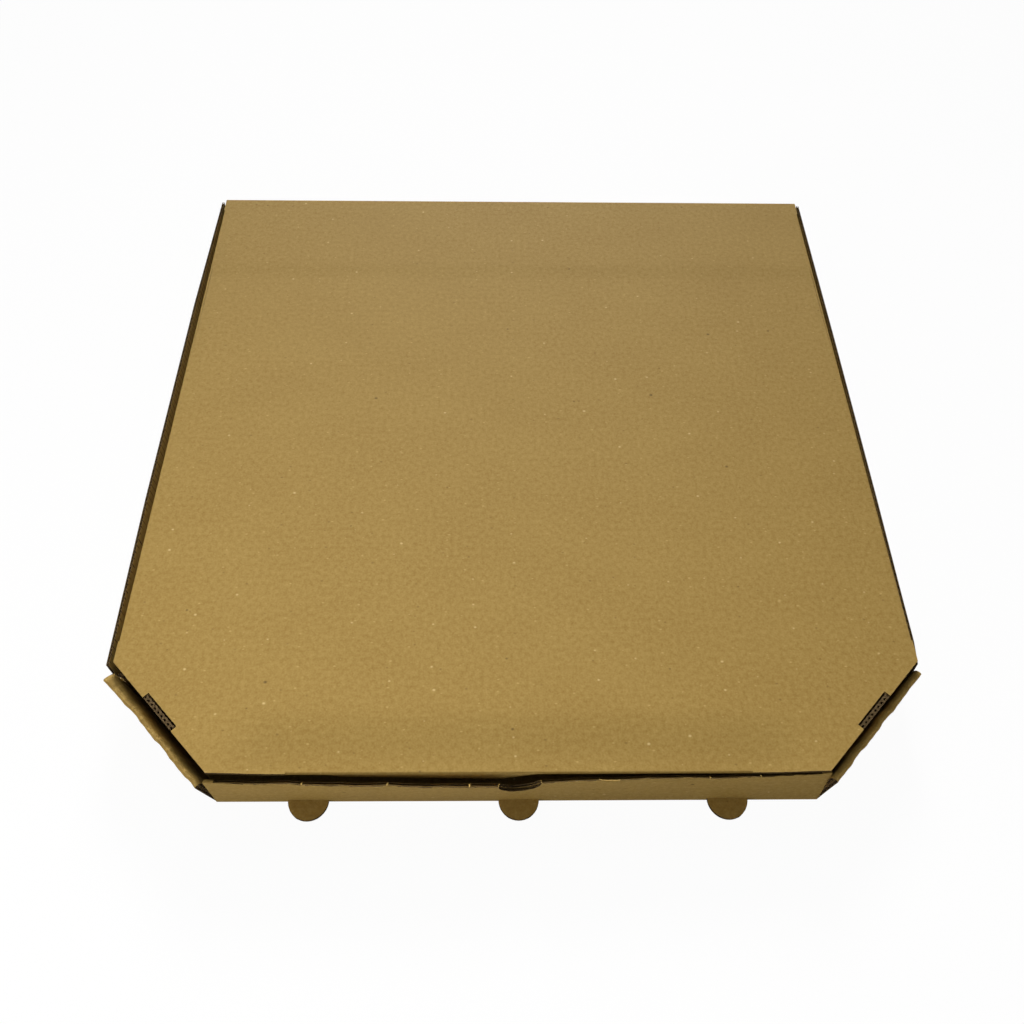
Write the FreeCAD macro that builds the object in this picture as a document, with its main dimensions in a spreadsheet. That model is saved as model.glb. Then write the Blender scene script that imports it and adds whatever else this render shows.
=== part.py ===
import FreeCAD, Part
import math
import os
import Sketcher

# Pizza box folded from one die-cut blank of thin corrugated board, lid closed.
# Origin: centre of the lid's outline, on the underside of the base.
# X runs left to right, Y from front to rear, Z up. Millimetres.

DRIVING_SIZES = [
    # the board and how it folds
    ("board", 1.5),
    ("ply_gap", 0.3),
    ("fold_bevel", 0.6),
    ("fold_radius", 1.3),
    ("foot", 6.0),
    # the lid
    ("lid_width", 330.0),
    ("lid_depth", 330.0),
    ("corner_cut", 45.0),
    ("box_height", 29.0),
    ("hinge_gap", 0.3),
    ("front_flap_margin", 30.0),
    ("front_flap_drop", 20.0),
    ("front_flap_reach", 10.0),
    ("front_flap_taper", 8.0),
    ("side_flap_drop", 20.0),
    ("side_flap_front_margin", 54.0),
    ("side_flap_rear_margin", 10.0),
    ("side_flap_taper", 14.0),
    # the side and rear walls of the tray
    ("side_gap", 0.5),
    ("side_wall_height", 28.0),
    ("left_bulge", 2.0),
    ("left_bulge_rear", 0.5),
    ("left_bulge_front", 1.0),
    ("right_bulge", 0.2),
    ("dust_tab_length", 36.0),
    ("dust_tab_height", 23.0),
    # the rolled-over front wall of the tray
    ("front_overhang", 2.0),
    ("front_wall_height", 27.0),
    ("pinched_fold", 2.2),
    ("bow_left_end", 1.2),
    ("bow_left_middle", 2.8),
    ("bow_left_of_notch", 3.6),
    ("bow_right_of_notch", 1.8),
    ("bow_right_middle", 0.3),
    ("bow_flap_end", -0.1),
    ("bow_right_end", -1.7),
    ("left_middle_station", 62.0),
    ("right_middle_station", 50.0),
    ("flap_end_margin", 4.0),
    ("notch_radius", 8.2),
    # the lock tabs of the front wall and their slots
    ("lock_tab_radius", 8.2),
    ("lock_tab_pitch", 84.0),
    ("lock_slot_play", 0.4),
    ("lock_slot_height", 3.1),
    # the rolled-over diagonal corner walls of the tray
    ("diagonal_overhang", 2.1),
    ("corner_wall_height", 26.0),
    ("corner_fold_width", 3.1),
    ("corner_wall_front_gap", 0.5),
    ("corner_wall_rear_gap", 2.5),
    ("corner_lean_left", 4.0),
    ("corner_lean_right", 2.1),
    # the corner tabs, and the tongue of each that stands up in a notch of the lid
    ("corner_tab_height", 24.0),
    ("corner_tab_root", 2.0),
    ("tongue_length", 18.4),
    ("tongue_shift", 0.8),
    ("tongue_shoulder", 11.8),
    ("notch_play", 0.5),
    ("notch_depth", 2.7),
]

ROOT_HALF = math.sqrt(0.5)
DIAGONAL_TURN = 135.0
LEFT, RIGHT = -1, 1

document = FreeCAD.newDocument("pizza_box")
sheet = document.addObject("Spreadsheet::Sheet", "Sizes")
for row, (alias, millimetres) in enumerate(DRIVING_SIZES, start=1):
    sheet.set(f"A{row}", alias)
    sheet.set(f"B{row}", str(millimetres))
    sheet.setAlias(f"B{row}", alias)
document.recompute()


class Size:
    """A length in mm, kept with the sheet formula that gives it."""

    def __init__(self, value, formula):
        self.value = value
        self.formula = formula

    def __add__(self, other):
        other = as_size(other)
        return Size(self.value + other.value, f"({self.formula} + {other.formula})")

    def __sub__(self, other):
        other = as_size(other)
        return Size(self.value - other.value, f"({self.formula} - {other.formula})")

    def __mul__(self, other):
        other = as_size(other)
        return Size(self.value * other.value, f"({self.formula} * {other.formula})")

    def __truediv__(self, other):
        other = as_size(other)
        return Size(self.value / other.value, f"({self.formula} / {other.formula})")

    def __neg__(self):
        return as_size(0) - self


def as_size(number):
    """Plain numbers stand in formulas as they are."""
    if isinstance(number, Size):
        return number
    return Size(float(number), str(float(number)))


def driving(alias):
    return Size(float(sheet.get(alias)), f"Sizes.{alias}")


def root(size):
    return Size(math.sqrt(size.value), f"sqrt({size.formula})")


def bind(thing, path, size):
    """Tie one property or constraint to its formula."""
    thing.setExpression(path, size.formula)


# sizes that the panels share
board = driving("board")
ply_gap = driving("ply_gap")
bevel = driving("fold_bevel")
foot = driving("foot")
half_lid = driving("lid_width") / 2
lid_rear = driving("lid_depth") / 2
lid_front = -lid_rear
lid_top = driving("box_height")
lid_underside = lid_top - board
corner_cut = driving("corner_cut")
side_face = half_lid + driving("side_gap") + board
front_face = lid_front - driving("front_overhang")
diagonal_overhang = driving("diagonal_overhang")
front_corner = half_lid - corner_cut + diagonal_overhang / ROOT_HALF - driving("front_overhang")
side_corner = lid_front + corner_cut - diagonal_overhang / ROOT_HALF + driving("side_gap") + board
flap_width = (half_lid - corner_cut - driving("front_flap_margin")) * 2
panel_floor = board + ply_gap


def new_sketch(body, name, role, offset=(0, 0, 0), turn=0.0):
    """A sketch on one of the body's own origin planes, moved and turned about its upright."""
    sketch = body.newObject("Sketcher::SketchObject", name)
    plane = next(item for item in body.Origin.OriginFeatures if item.Role == role)
    sketch.AttachmentSupport = [(plane, "")]
    sketch.MapMode = "FlatFace"
    shift = [as_size(value) for value in offset]
    turned = FreeCAD.Rotation(FreeCAD.Vector(0, 1, 0), turn)
    moved = FreeCAD.Vector(*[value.value for value in shift])
    sketch.AttachmentOffset = FreeCAD.Placement(moved, turned)
    for axis, value in zip("xyz", shift):
        if "Sizes." in value.formula:
            bind(sketch, f"AttachmentOffset.Base.{axis}", value)
    return sketch


def pin(sketch, edge, end, x, y):
    """Hold one point of the sketch at formulas for its two coordinates."""
    for kind, size in (("DistanceX", as_size(x)), ("DistanceY", as_size(y))):
        index = sketch.addConstraint(Sketcher.Constraint(kind, -1, 1, edge, end, size.value))
        if "Sizes." in size.formula:
            bind(sketch, f"Constraints[{index}]", size)


def draw_outline(sketch, corners, arcs=None):
    """A closed outline through the corners, counter-clockwise. arcs gives, for an edge that
    runs along the sketch's X, how far its outward arc stands off the chord."""
    arcs = arcs or {}
    corners = [(as_size(x), as_size(y)) for x, y in corners]
    count = len(corners)
    edges = []
    for index, (x, y) in enumerate(corners):
        next_x, next_y = corners[(index + 1) % count]
        start = FreeCAD.Vector(x.value, y.value, 0)
        end = FreeCAD.Vector(next_x.value, next_y.value, 0)
        if index in arcs:
            crown = (start + end) * 0.5 + FreeCAD.Vector(0, arcs[index].value, 0)
            edges.append(sketch.addGeometry(Part.Arc(start, crown, end)))
        else:
            edges.append(sketch.addGeometry(Part.LineSegment(start, end)))
    for index, (x, y) in enumerate(corners):
        next_edge = edges[(index + 1) % count]
        sketch.addConstraint(Sketcher.Constraint("Coincident", edges[index], 2, next_edge, 1))
        pin(sketch, edges[index], 1, x, y)
        if index in arcs:
            half_chord = (corners[(index + 1) % count][0] - x) / 2
            rise = arcs[index]
            centre_y = y + (rise * rise - half_chord * half_chord) / (rise * 2)
            held = Sketcher.Constraint("DistanceY", -1, 1, edges[index], 3, centre_y.value)
            bind(sketch, f"Constraints[{sketch.addConstraint(held)}]", centre_y)


def pad(body, name, sketch, length, centred=False, backwards=False):
    feature = body.newObject("PartDesign::Pad", name)
    feature.Profile = sketch
    feature.Midplane = centred
    feature.Reversed = backwards
    bind(feature, "Length", length)
    return feature


def pocket(body, name, sketch, length, centred=False):
    feature = body.newObject("PartDesign::Pocket", name)
    feature.Profile = sketch
    feature.Midplane = centred
    bind(feature, "Length", length)
    return feature


def loft(body, name, sections):
    """Straight-ruled skin from section to section."""
    feature = body.newObject("PartDesign::AdditiveLoft", name)
    feature.Profile = sections[0]
    feature.Sections = sections[1:]
    feature.Ruled = True
    return feature


def wall_outline(face, outward, lean, height):
    """Section of a single wall with the strip of base at its foot: outer face, leaning
    outward at the top, and the flattened corner of the fold underneath."""
    def point(inset, z):
        return (face - as_size(inset) * outward, z)
    top = face + lean * outward
    corners = [
        point(foot, 0),
        point(bevel, 0),
        point(0, bevel),
        (top, height),
        (top - board * outward, height),
        point(board, board),
        point(foot, board),
    ]
    return corners if outward > 0 else corners[::-1]


# The tray: base, walls, rolled-over front and corners, all one blank
tray = document.addObject("PartDesign::Body", "tray")
tray.Label = "tray"

# base panel, one board inside the walls' outer faces, under the feet of the wall sections
base_sketch = new_sketch(tray, "base_outline", "XY_Plane")
draw_outline(base_sketch, [
    (-front_corner, front_face + board),
    (front_corner, front_face + board),
    (side_face - board, side_corner),
    (side_face - board, lid_rear - board),
    (-side_face + board, lid_rear - board),
    (-side_face + board, side_corner),
])
pad(tray, "base_panel", base_sketch, board)

# rear wall, up to the lid's hinge crease
rear_wall_top = lid_underside - driving("hinge_gap")
rear_sketch = new_sketch(tray, "rear_wall_section", "YZ_Plane")
draw_outline(rear_sketch, wall_outline(lid_rear, 1, as_size(0), rear_wall_top))
pad(tray, "rear_wall", rear_sketch, half_lid * 2, centred=True)

# side walls with a raw top edge; the left one has bulged outward
side_wall_rear = lid_rear - board - ply_gap
side_height = driving("side_wall_height")
side_stations = [side_corner, side_corner / 3, side_wall_rear / 2, side_wall_rear]
left_bulge = driving("left_bulge")
side_bulges = {
    LEFT: [driving("left_bulge_front"), left_bulge, left_bulge, driving("left_bulge_rear")],
    RIGHT: [driving("right_bulge")] * len(side_stations),
}
for side, side_name in ((LEFT, "left"), (RIGHT, "right")):
    sections = []
    for number, (station, bulge) in enumerate(zip(side_stations, side_bulges[side])):
        section = new_sketch(tray, f"{side_name}_wall_section_{number}", "XZ_Plane", (0, 0, -station))
        draw_outline(section, wall_outline(side_face * side, side, bulge, side_height))
        sections.append(section)
    loft(tray, f"{side_name}_wall", sections)

# dust tabs, folded from the side walls' rear ends along the inside of the rear wall
dust_height = driving("dust_tab_height")
for side, side_name in ((LEFT, "left"), (RIGHT, "right")):
    outer_end = (side_face - board / 2) * side
    inner_end = (side_face - driving("dust_tab_length")) * side
    low_x, high_x = (outer_end, inner_end) if side == LEFT else (inner_end, outer_end)
    dust_sketch = new_sketch(tray, f"{side_name}_dust_tab_outline", "XY_Plane", (0, 0, panel_floor))
    draw_outline(dust_sketch, [
        (low_x, side_wall_rear - board),
        (high_x, side_wall_rear - board),
        (high_x, side_wall_rear),
        (low_x, side_wall_rear),
    ])
    pad(tray, f"{side_name}_dust_tab", dust_sketch, dust_height)

# front wall: outer ply, perforated top fold, inner ply hanging down inside; bowed outward
front_top = driving("front_wall_height")
pinched = driving("pinched_fold")


def rolled_wall_outline(face, outward, lean, height, fold_width):
    """Section of a wall rolled over at the top into an inner ply that hangs just off the base;
    its top fold, pinched to fold_width, leans outward by lean."""
    def point(out, z):
        return (face + as_size(out) * outward, z)
    back = -(board + ply_gap)
    corners = [
        point(-foot, 0),
        point(-bevel, 0),
        point(0, bevel),
        point(lean, height - bevel),
        point(lean - bevel, height),
        point(lean - fold_width + bevel, height),
        point(lean - fold_width, height - bevel),
        point(back - board, panel_floor),
        point(back, panel_floor),
        point(lean - (fold_width + ply_gap) / 2, height - board),
        point(lean - (fold_width - ply_gap) / 2, height - board),
        point(-board, board),
        point(-foot, board),
    ]
    return corners if outward > 0 else corners[::-1]


notch_radius = driving("notch_radius")
front_stations = [
    (-front_corner, driving("bow_left_end")),
    (-driving("left_middle_station"), driving("bow_left_middle")),
    (-notch_radius, driving("bow_left_of_notch")),
    (notch_radius, driving("bow_right_of_notch")),
    (driving("right_middle_station"), driving("bow_right_middle")),
    (flap_width / 2 + driving("flap_end_margin"), driving("bow_flap_end")),
    (front_corner, driving("bow_right_end")),
]
sections = []
for number, (station, bow) in enumerate(front_stations):
    section = new_sketch(tray, f"front_wall_section_{number}", "YZ_Plane", (0, 0, station))
    draw_outline(section, rolled_wall_outline(front_face, -1, bow, front_top, pinched))
    sections.append(section)
loft(tray, "front_wall", sections)

# finger notch: a round hole centred on the top fold, cut from well in front of the wall
cut_clearance = foot
notch_sketch = new_sketch(tray, "finger_notch_outline", "XZ_Plane", (0, 0, -front_face + cut_clearance))
draw_outline(notch_sketch, [
    (-notch_radius, front_top),
    (notch_radius, front_top),
    (notch_radius, front_top + board),
    (-notch_radius, front_top + board),
], arcs={0: -notch_radius})
pocket(tray, "finger_notch", notch_sketch, cut_clearance * 2)

# arched slots at the foot of the outer ply, and the lock tabs that stand out through them
tab_radius = driving("lock_tab_radius")
slot_half = tab_radius + driving("lock_slot_play")
slot_sketch = new_sketch(tray, "lock_slot_outline", "XZ_Plane", (0, 0, -front_face + cut_clearance))
tab_sketch = new_sketch(tray, "lock_tab_outline", "XY_Plane", (0, 0, panel_floor))
inner_ply_middle = front_face + board + ply_gap + board / 2
for place in (-1, 0, 1):
    centre = driving("lock_tab_pitch") * place
    draw_outline(slot_sketch, [
        (centre - slot_half, board),
        (centre + slot_half, board),
        (centre + slot_half, board * 2),
        (centre - slot_half, board * 2),
    ], arcs={2: driving("lock_slot_height") - board})
    draw_outline(tab_sketch, [
        (centre - tab_radius, front_face),
        (centre + tab_radius, front_face),
        (centre + tab_radius, inner_ply_middle),
        (centre - tab_radius, inner_ply_middle),
    ], arcs={0: -tab_radius})
pocket(tray, "lock_slots", slot_sketch, cut_clearance + board + ply_gap / 2)
pad(tray, "lock_tabs", tab_sketch, board)

# diagonal corner walls, rolled over as the front wall is, and the corner tabs inside them,
# all drawn square to the base's diagonal edge: X outward, Y up
corner_top = driving("corner_wall_height")
corner_fold = driving("corner_fold_width")
corner_tab_height = driving("corner_tab_height")
tongue_length = driving("tongue_length")
tongue_shift = driving("tongue_shift")
middle_x = half_lid - corner_cut / 2 + diagonal_overhang * ROOT_HALF
middle_y = lid_front + corner_cut / 2 - diagonal_overhang * ROOT_HALF
diagonal_end = (side_corner - middle_y) / ROOT_HALF
wall_front = driving("corner_wall_front_gap") - diagonal_end
wall_rear = diagonal_end - driving("corner_wall_rear_gap")
tab_front = tongue_shift - tongue_length / 2 - driving("tongue_shoulder")
tab_rear = diagonal_end + driving("corner_tab_root")


def corner_sketch(name, side, along):
    """A sketch plane square to one diagonal edge, along mm towards the rear from its middle."""
    step = along * ROOT_HALF
    offset = (middle_y + step, 0, (middle_x + step) * side)
    return new_sketch(tray, name, "YZ_Plane", offset, turn=-DIAGONAL_TURN * side)


def tab_outline(height):
    """Section of the corner tab. It clears the inner ply at its foot and leans outward, so that
    at the lid's top it is flush with the lid's diagonal edge."""
    foot_face = -(board + ply_gap) * 2
    top_face = -diagonal_overhang
    slant = (top_face - foot_face) / (lid_top - panel_floor)
    face = foot_face + slant * (height - panel_floor)
    return [
        (foot_face - board, panel_floor),
        (foot_face, panel_floor),
        (face, height),
        (face - board, height),
    ]


for side, side_name, lean in (
    (LEFT, "left", driving("corner_lean_left")),
    (RIGHT, "right", driving("corner_lean_right")),
):
    wall_sketch = corner_sketch(f"{side_name}_corner_section", side, (wall_front + wall_rear) / 2)
    draw_outline(wall_sketch, rolled_wall_outline(as_size(0), 1, lean, corner_top, corner_fold))
    pad(tray, f"{side_name}_corner_wall", wall_sketch, wall_rear - wall_front, centred=True)

    tab_section = corner_sketch(f"{side_name}_corner_tab_section", side, (tab_front + tab_rear) / 2)
    draw_outline(tab_section, tab_outline(corner_tab_height))
    pad(tray, f"{side_name}_corner_tab", tab_section, tab_rear - tab_front, centred=True)

    tongue_section = corner_sketch(f"{side_name}_tongue_section", side, tongue_shift)
    draw_outline(tongue_section, tab_outline(lid_top))
    pad(tray, f"{side_name}_tongue", tongue_section, tongue_length, centred=True)

# The lid: panel, tuck flap and side flaps, all part of the same blank
lid = document.addObject("PartDesign::Body", "lid")
lid.Label = "lid"

# lid panel, with a notch in each diagonal edge for the tongue
notch_half = tongue_length / 2 + driving("notch_play")
notch_middle_x = half_lid - corner_cut / 2
notch_middle_y = lid_front + corner_cut / 2


def on_diagonal(along, inward):
    """A point by the right diagonal edge, along mm to the rear of its middle."""
    return (
        notch_middle_x + (along - inward) * ROOT_HALF,
        notch_middle_y + (along + inward) * ROOT_HALF,
    )


notch_depth = driving("notch_depth")
notch_front = tongue_shift - notch_half
notch_rear = tongue_shift + notch_half
right_edge = [
    (half_lid - corner_cut, lid_front),
    on_diagonal(notch_front, as_size(0)),
    on_diagonal(notch_front, notch_depth),
    on_diagonal(notch_rear, notch_depth),
    on_diagonal(notch_rear, as_size(0)),
    (half_lid, lid_front + corner_cut),
    (half_lid, lid_rear),
]
left_edge = [(-x, y) for x, y in reversed(right_edge)]
panel_sketch = new_sketch(lid, "lid_outline", "XY_Plane", (0, 0, lid_underside))
draw_outline(panel_sketch, right_edge + left_edge)
pad(lid, "lid_panel", panel_sketch, board)

# front tuck flap, folded down behind the front wall and pressed back by it
flap_drop = driving("front_flap_drop")
flap_reach = driving("front_flap_reach")
slope_drop = flap_drop - board
slope_length = root(slope_drop * slope_drop + flap_reach * flap_reach)
flap_tip = (lid_front + flap_reach, lid_top - flap_drop)
flap_sketch = new_sketch(lid, "front_flap_section", "YZ_Plane")
draw_outline(flap_sketch, [
    (lid_front, lid_top),
    (lid_front, lid_underside),
    flap_tip,
    (flap_tip[0] + board * slope_drop / slope_length, flap_tip[1] + board * flap_reach / slope_length),
    (lid_front + board * slope_length / slope_drop, lid_underside),
    (lid_front + foot, lid_underside),
    (lid_front + foot, lid_top),
])
pad(lid, "front_flap", flap_sketch, flap_width, centred=True)

# the tuck flap's ends taper towards its tip
taper_sketch = new_sketch(lid, "front_flap_taper_outline", "XZ_Plane", (0, 0, -lid_front))
for side in (LEFT, RIGHT):
    end = flap_width / 2
    tip = end - driving("front_flap_taper")
    below = flap_tip[1] - board
    triangle = [(end * side, lid_underside), (tip * side, below), ((end + foot) * side, below)]
    draw_outline(taper_sketch, triangle if side == RIGHT else triangle[::-1])
pocket(lid, "front_flap_taper", taper_sketch, flap_reach + board * 2)

# side flaps, folded down inside the side walls
side_drop = driving("side_flap_drop")
side_taper = driving("side_flap_taper")
flap_front = lid_front + driving("side_flap_front_margin")
flap_rear = lid_rear - driving("side_flap_rear_margin")
for side, side_name in ((LEFT, "left"), (RIGHT, "right")):
    flap_face = half_lid * side if side == RIGHT else -half_lid + board
    side_sketch = new_sketch(lid, f"{side_name}_flap_outline", "YZ_Plane", (0, 0, flap_face))
    draw_outline(side_sketch, [
        (flap_front + side_taper / 2, lid_top - side_drop),
        (flap_rear - side_taper, lid_top - side_drop),
        (flap_rear, lid_underside + board / 2),
        (flap_front, lid_underside + board / 2),
    ])
    pad(lid, f"{side_name}_flap", side_sketch, board, backwards=True)

# rounded outer corners of the lid's creases
document.recompute()
crease_middles = [
    FreeCAD.Vector(0, lid_front.value, lid_top.value),
    FreeCAD.Vector(0, lid_rear.value, lid_top.value),
    FreeCAD.Vector(half_lid.value, corner_cut.value / 2, lid_top.value),
    FreeCAD.Vector(-half_lid.value, corner_cut.value / 2, lid_top.value),
]
crease_edges = []
for number, edge in enumerate(lid.Tip.Shape.Edges, start=1):
    if any(edge.CenterOfMass.distanceToPoint(middle) < ply_gap.value for middle in crease_middles):
        crease_edges.append(f"Edge{number}")
flat_lid = lid.Tip
creases = lid.newObject("PartDesign::Fillet", "lid_creases")
creases.Base = (flat_lid, crease_edges)
bind(creases, "Radius", driving("fold_radius"))

document.recompute()
for thing in document.Objects:
    if "Invalid" in thing.State or "Error" in thing.State:
        raise RuntimeError(f"{thing.Name} did not build: {thing.State}")
    if thing.isDerivedFrom("PartDesign::Pocket") and thing.Shape.Volume >= thing.BaseFeature.Shape.Volume:
        raise RuntimeError(f"{thing.Name} cut nothing")
for node in (tray, lid):
    if node.Shape.isNull() or not node.Shape.isValid() or len(node.Shape.Solids) != 1:
        raise RuntimeError(f"{node.Label} is not one valid solid")

os.makedirs("parts", exist_ok=True)
for node in (tray, lid):
    node.Shape.exportStep(f"parts/{node.Label}.step")
    box = node.Shape.BoundBox
    print(node.Label, round(node.Shape.Volume), "mm3", [round(v, 2) for v in (
        box.XMin, box.XMax, box.YMin, box.YMax, box.ZMin, box.ZMax)])
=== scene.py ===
import math

import bpy
from mathutils import Matrix, Vector


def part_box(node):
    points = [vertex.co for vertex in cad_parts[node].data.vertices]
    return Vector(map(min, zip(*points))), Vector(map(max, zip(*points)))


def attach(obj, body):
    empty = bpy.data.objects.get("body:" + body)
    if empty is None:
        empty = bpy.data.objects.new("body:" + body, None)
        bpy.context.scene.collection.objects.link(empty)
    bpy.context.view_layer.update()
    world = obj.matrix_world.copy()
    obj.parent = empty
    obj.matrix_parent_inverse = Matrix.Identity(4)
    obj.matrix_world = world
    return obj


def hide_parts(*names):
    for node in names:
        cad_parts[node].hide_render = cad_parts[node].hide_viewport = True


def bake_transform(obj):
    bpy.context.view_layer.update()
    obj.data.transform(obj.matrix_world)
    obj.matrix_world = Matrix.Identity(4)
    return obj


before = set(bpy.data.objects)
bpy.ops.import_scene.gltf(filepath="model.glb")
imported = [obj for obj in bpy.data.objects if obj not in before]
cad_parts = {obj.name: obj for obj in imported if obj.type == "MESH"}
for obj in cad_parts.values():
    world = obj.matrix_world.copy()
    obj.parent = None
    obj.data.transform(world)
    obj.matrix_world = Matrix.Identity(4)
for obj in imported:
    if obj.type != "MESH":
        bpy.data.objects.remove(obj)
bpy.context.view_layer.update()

# The board. One blank of single-wall E-flute: two kraft paper liners glued to a fluted paper,
# die-cut flat, then creased and folded, so cut edges show the flutes and folds are crushed round.
MM = 0.001
BOARD = 1.5 * MM
FLUTE_PITCH = 3.2 * MM
CLOUD_MM, MOTTLE_MM, TOOTH_MM = 28, 2.0, 0.8


def linear(hex_text):
    """sRGB hex to the linear colour that a shader takes."""
    channels = [int(hex_text[i:i + 2], 16) / 255 for i in (1, 3, 5)]
    return [c / 12.92 if c <= 0.04045 else ((c + 0.055) / 1.055) ** 2.4 for c in channels] + [1.0]


def add(tree, kind, settings=None, inputs=None):
    """A node with its settings, its plain input values and its links."""
    node = tree.nodes.new(kind)
    for key, value in (settings or {}).items():
        setattr(node, key, value)
    for key, value in (inputs or {}).items():
        if isinstance(value, bpy.types.NodeSocket):
            tree.links.new(value, node.inputs[key])
        else:
            node.inputs[key].default_value = value
    return node


def new_material(name):
    """A material with its node tree."""
    material = bpy.data.materials.new(name)
    material.use_nodes = True
    return material, material.node_tree


def paper_surface(tree, colour, height, strength, depth, roughness, specular):
    """Gives the shader a paper's colour, its fine relief and its dull gloss."""
    shader = tree.nodes["Principled BSDF"]
    tree.links.new(colour, shader.inputs["Base Color"])
    bump = add(tree, "ShaderNodeBump", {}, {"Strength": strength, "Distance": depth, "Height": height})
    tree.links.new(bump.outputs[0], shader.inputs["Normal"])
    shader.inputs["Roughness"].default_value = roughness
    shader.inputs["Specular IOR Level"].default_value = specular


def flecks(tree, flat, cell, radius, share, stretch):
    """1 inside scattered flecks of the pulp: radius and cell are real sizes in mm, share says how
    many cells hold one, stretch how long a fleck is along the flutes."""
    squeezed = add(tree, "ShaderNodeMapping", {}, {"Vector": flat, "Scale": (1 / stretch, 1, 1)})
    cells = add(tree, "ShaderNodeTexVoronoi", {"voronoi_dimensions": "2D"},
                {"Vector": squeezed.outputs[0], "Scale": 1 / cell})
    parts = add(tree, "ShaderNodeSeparateColor", {}, {"Color": cells.outputs["Color"]})
    size = add(tree, "ShaderNodeMapRange", {}, {
        "Value": parts.outputs[0], "From Min": 1 - share, "From Max": 1.0,
        "To Min": 0.0, "To Max": radius / cell})
    inside = add(tree, "ShaderNodeMath", {"operation": "SUBTRACT"},
                 {0: size.outputs[0], 1: cells.outputs["Distance"]})
    soft = add(tree, "ShaderNodeMapRange", {}, {
        "Value": inside.outputs[0], "From Min": 0.0, "From Max": 0.8 * radius / cell})
    return soft.outputs[0]


def kraft_liner(name, pale, dark):
    """Recycled kraft liner: matt brown paper, cloudy and mottled, with pale and dark fibre flecks
    from the pulp, a fine tooth, and the faint washboard of the flutes underneath. The mottle, the
    tooth and the flecks are drawn as coarse as they need to be to show in a render."""
    material, tree = new_material(name)
    flat = add(tree, "ShaderNodeAttribute", {"attribute_name": "blank_mm"}).outputs["Vector"]
    drawn = add(tree, "ShaderNodeMapping", {}, {"Vector": flat, "Scale": (0.6, 1, 1)}).outputs[0]
    tone = 0.0
    for place, grain, detail, weight in (
        (drawn, CLOUD_MM, 2.0, 0.16), (flat, MOTTLE_MM, 1.0, 0.5), (flat, TOOTH_MM, 1.0, 0.4),
    ):
        noise = add(tree, "ShaderNodeTexNoise", {}, {"Vector": place, "Scale": 1 / grain, "Detail": detail})
        tone = add(tree, "ShaderNodeMath", {"operation": "MULTIPLY_ADD"},
                   {0: noise.outputs["Fac"], 1: weight, 2: tone}).outputs[0]
    spread = add(tree, "ShaderNodeMapRange", {}, {"Value": tone, "From Min": 0.27, "From Max": 0.79})
    colour = add(tree, "ShaderNodeMix", {"data_type": "RGBA"}, {
        "Factor": spread.outputs[0], "A": linear(dark), "B": linear(pale)}).outputs["Result"]
    for fleck_hex, strength, cell, radius, share, stretch in (
        ("#E2C888", 0.7, 13.0, 0.7, 0.5, 1.3),
        ("#CDB06A", 0.6, 4.4, 0.48, 0.6, 1.7),
        ("#765B2B", 0.6, 7.0, 0.6, 0.5, 1.5),
        ("#4F3919", 0.8, 26.0, 0.85, 0.5, 1.3),
    ):
        mask = flecks(tree, flat, cell, radius, share, stretch)
        amount = add(tree, "ShaderNodeMath", {"operation": "MULTIPLY"}, {0: mask, 1: strength})
        colour = add(tree, "ShaderNodeMix", {"data_type": "RGBA"}, {
            "Factor": amount.outputs[0], "A": colour, "B": linear(fleck_hex)}).outputs["Result"]
    across = add(tree, "ShaderNodeSeparateXYZ", {}, {0: flat}).outputs["Y"]
    turn = add(tree, "ShaderNodeMath", {"operation": "MULTIPLY"}, {0: across, 1: math.tau * MM / FLUTE_PITCH})
    ribs = add(tree, "ShaderNodeMath", {"operation": "SINE"}, {0: turn.outputs[0]})
    relief = add(tree, "ShaderNodeMath", {"operation": "MULTIPLY_ADD"},
                 {0: ribs.outputs[0], 1: 0.10, 2: spread.outputs[0]})
    paper_surface(tree, colour, relief.outputs[0], 0.25, 0.15 * MM, roughness=0.75, specular=0.28)
    return material


def rough_paper(name, pale, dark):
    """Unbleached fluting paper and cut edges: the same pulp with torn fibres, drawn darker; the darkness is
    partly the raw paper's own and partly painted shade of the flute hollows and of edges in shadow.
    """
    material, tree = new_material(name)
    place = add(tree, "ShaderNodeTexCoord").outputs["Object"]
    fibres = add(tree, "ShaderNodeTexNoise", {}, {
        "Vector": place, "Scale": 1 / (TOOTH_MM * MM), "Detail": 2.0}).outputs["Fac"]
    spread = add(tree, "ShaderNodeMapRange", {}, {"Value": fibres, "From Min": 0.35, "From Max": 0.65})
    paper = add(tree, "ShaderNodeMix", {"data_type": "RGBA"}, {
        "Factor": spread.outputs[0], "A": linear(dark), "B": linear(pale)})
    paper_surface(tree, paper.outputs["Result"], fibres, 0.4, 0.1 * MM, roughness=0.92, specular=0.15)
    return material


liner = kraft_liner("kraft_liner", "#B0924E", "#927231")
# The fluting paper's and the cut edges' dark colours are partly painted shade, of the flute hollows and of
# raw edges that lie in shadow.
fluting = rough_paper("fluting_paper_partly_painted_shade", "#54432B", "#362A1A")
cut_edge_partly_painted_shade = rough_paper("cut_edge_partly_painted_shade", "#6B583B", "#453620")

# The three papers of a panel. Each is laid row by row across the flutes from the panel's cut
# outline, folded into place, and given its thickness; its rim takes the cut edge's paper.
PAPER = 0.2 * MM
STEPS_PER_FLUTE = 8
FLUTE_SWING = 0.36
HAIR = 0.0001 * MM
OUTER_FACE, INNER_FACE = 1.0, 0.0
OUTER_LINER, INNER_LINER, FLUTED_PAPER = 0, 1, 2
RIM_SLOT = 3


def spans(loops, b):
    """Where the line across the blank at b lies on board: pairs of a values."""
    hits = []
    for loop in loops:
        for (a0, b0), (a1, b1) in zip(loop, loop[1:] + loop[:1]):
            if (b0 > b) != (b1 > b):
                hits.append(a0 + (b - b0) * (a1 - a0) / (b1 - b0))
    hits.sort()
    return list(zip(hits[::2], hits[1::2]))


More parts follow.
